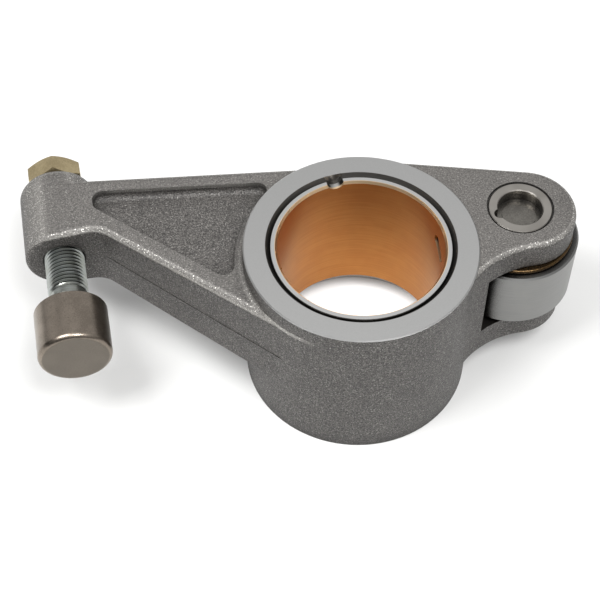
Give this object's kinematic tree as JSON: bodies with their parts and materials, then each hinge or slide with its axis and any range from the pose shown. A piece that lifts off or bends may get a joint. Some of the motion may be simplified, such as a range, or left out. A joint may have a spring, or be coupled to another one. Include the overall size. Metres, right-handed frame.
{
  "type": "rocker arm",
  "caption": "Forged roller rocker arm with a bushed hub, a ribbed arm that carries a ball-ended adjusting screw and swivel foot, and a fork with a roller on a hollow pin.",
  "frame": {"origin": "on the axis of the shaft bore, halfway up the hub", "axes": "+Z along the shaft bore, +X from the bore toward the roller, +Y from the swivel foot toward the lock nut"},
  "size_m": [0.1892, 0.112, 0.0628],
  "materials": {
    "forged_steel": "shot-blasted dark grey skin, ground end faces",
    "shell_steel": "fine turned",
    "lining_bronze": "satin bored, fine turning lines",
    "roller_steel": "ground satin",
    "washer_bronze": "dull, brown",
    "pin_steel": "ground end faces",
    "plug_steel": "pressed, dull",
    "screw_steel": "dark oiled",
    "nut_plated": "yellow passivated zinc, satin",
    "foot_steel": "dark satin",
    "clip_steel": "spring wire, bright"
  },
  "bodies": {
    "arm": {"rocker_body": "forged_steel", "bush_shell": "shell_steel", "bush_lining": "lining_bronze", "roller_pin": "pin_steel", "pin_plug_upper": "plug_steel", "pin_plug_lower": "plug_steel"},
    "roller": {"roller": "roller_steel"},
    "floating_bush": {"roller_bush": "washer_bronze"},
    "upper_washer": {"thrust_washer_upper": "washer_bronze"},
    "lower_washer": {"thrust_washer_lower": "washer_bronze"},
    "nut": {"lock_nut": "nut_plated"},
    "clip": {"foot_clip": "clip_steel"},
    "screw": {"adjusting_screw": "screw_steel"},
    "foot": {"swivel_foot": "foot_steel"}
  },
  "joints": [
    {"name": "roller_spin", "type": "hinge", "parent": "arm", "child": "roller", "pos_m": [0.05619, 0.00673, 0.0063], "axis": [0, 0, 1], "continuous": true},
    {"name": "floating_bush_spin", "type": "hinge", "parent": "arm", "child": "floating_bush", "pos_m": [0.05619, 0.00673, 0.0063], "axis": [0, 0, 1], "continuous": true},
    {"name": "upper_washer_spin", "type": "hinge", "parent": "arm", "child": "upper_washer", "pos_m": [0.05619, 0.00673, 0.0063], "axis": [0, 0, 1], "continuous": true},
    {"name": "lower_washer_spin", "type": "hinge", "parent": "arm", "child": "lower_washer", "pos_m": [0.05619, 0.00673, 0.0063], "axis": [0, 0, 1], "continuous": true},
    {"name": "nut_turn", "type": "hinge", "parent": "arm", "child": "nut", "pos_m": [-0.09816, 0.0679, 0.0063], "axis": [0, 1, 0], "range_deg": [0, 180]},
    {"name": "lash_slide", "type": "slide", "parent": "arm", "child": "clip", "axis": [0, 1, 0], "range_m": [-0.001, 0.004]},
    {"name": "screw_turn", "type": "hinge", "parent": "clip", "child": "screw", "pos_m": [-0.09816, -0.00027, 0.0063], "axis": [0, 1, 0], "range_deg": [-240.1, 960.1]},
    {"name": "foot_tilt", "type": "hinge", "parent": "clip", "child": "foot", "pos_m": [-0.09816, -0.00027, 0.0063], "axis": [0, 0, 1], "range_deg": [-6, 6]}
  ],
  "couplings": [
    {"joint": "screw_turn", "follows": "lash_slide", "rad_per_m": 4188.8}
  ]
}
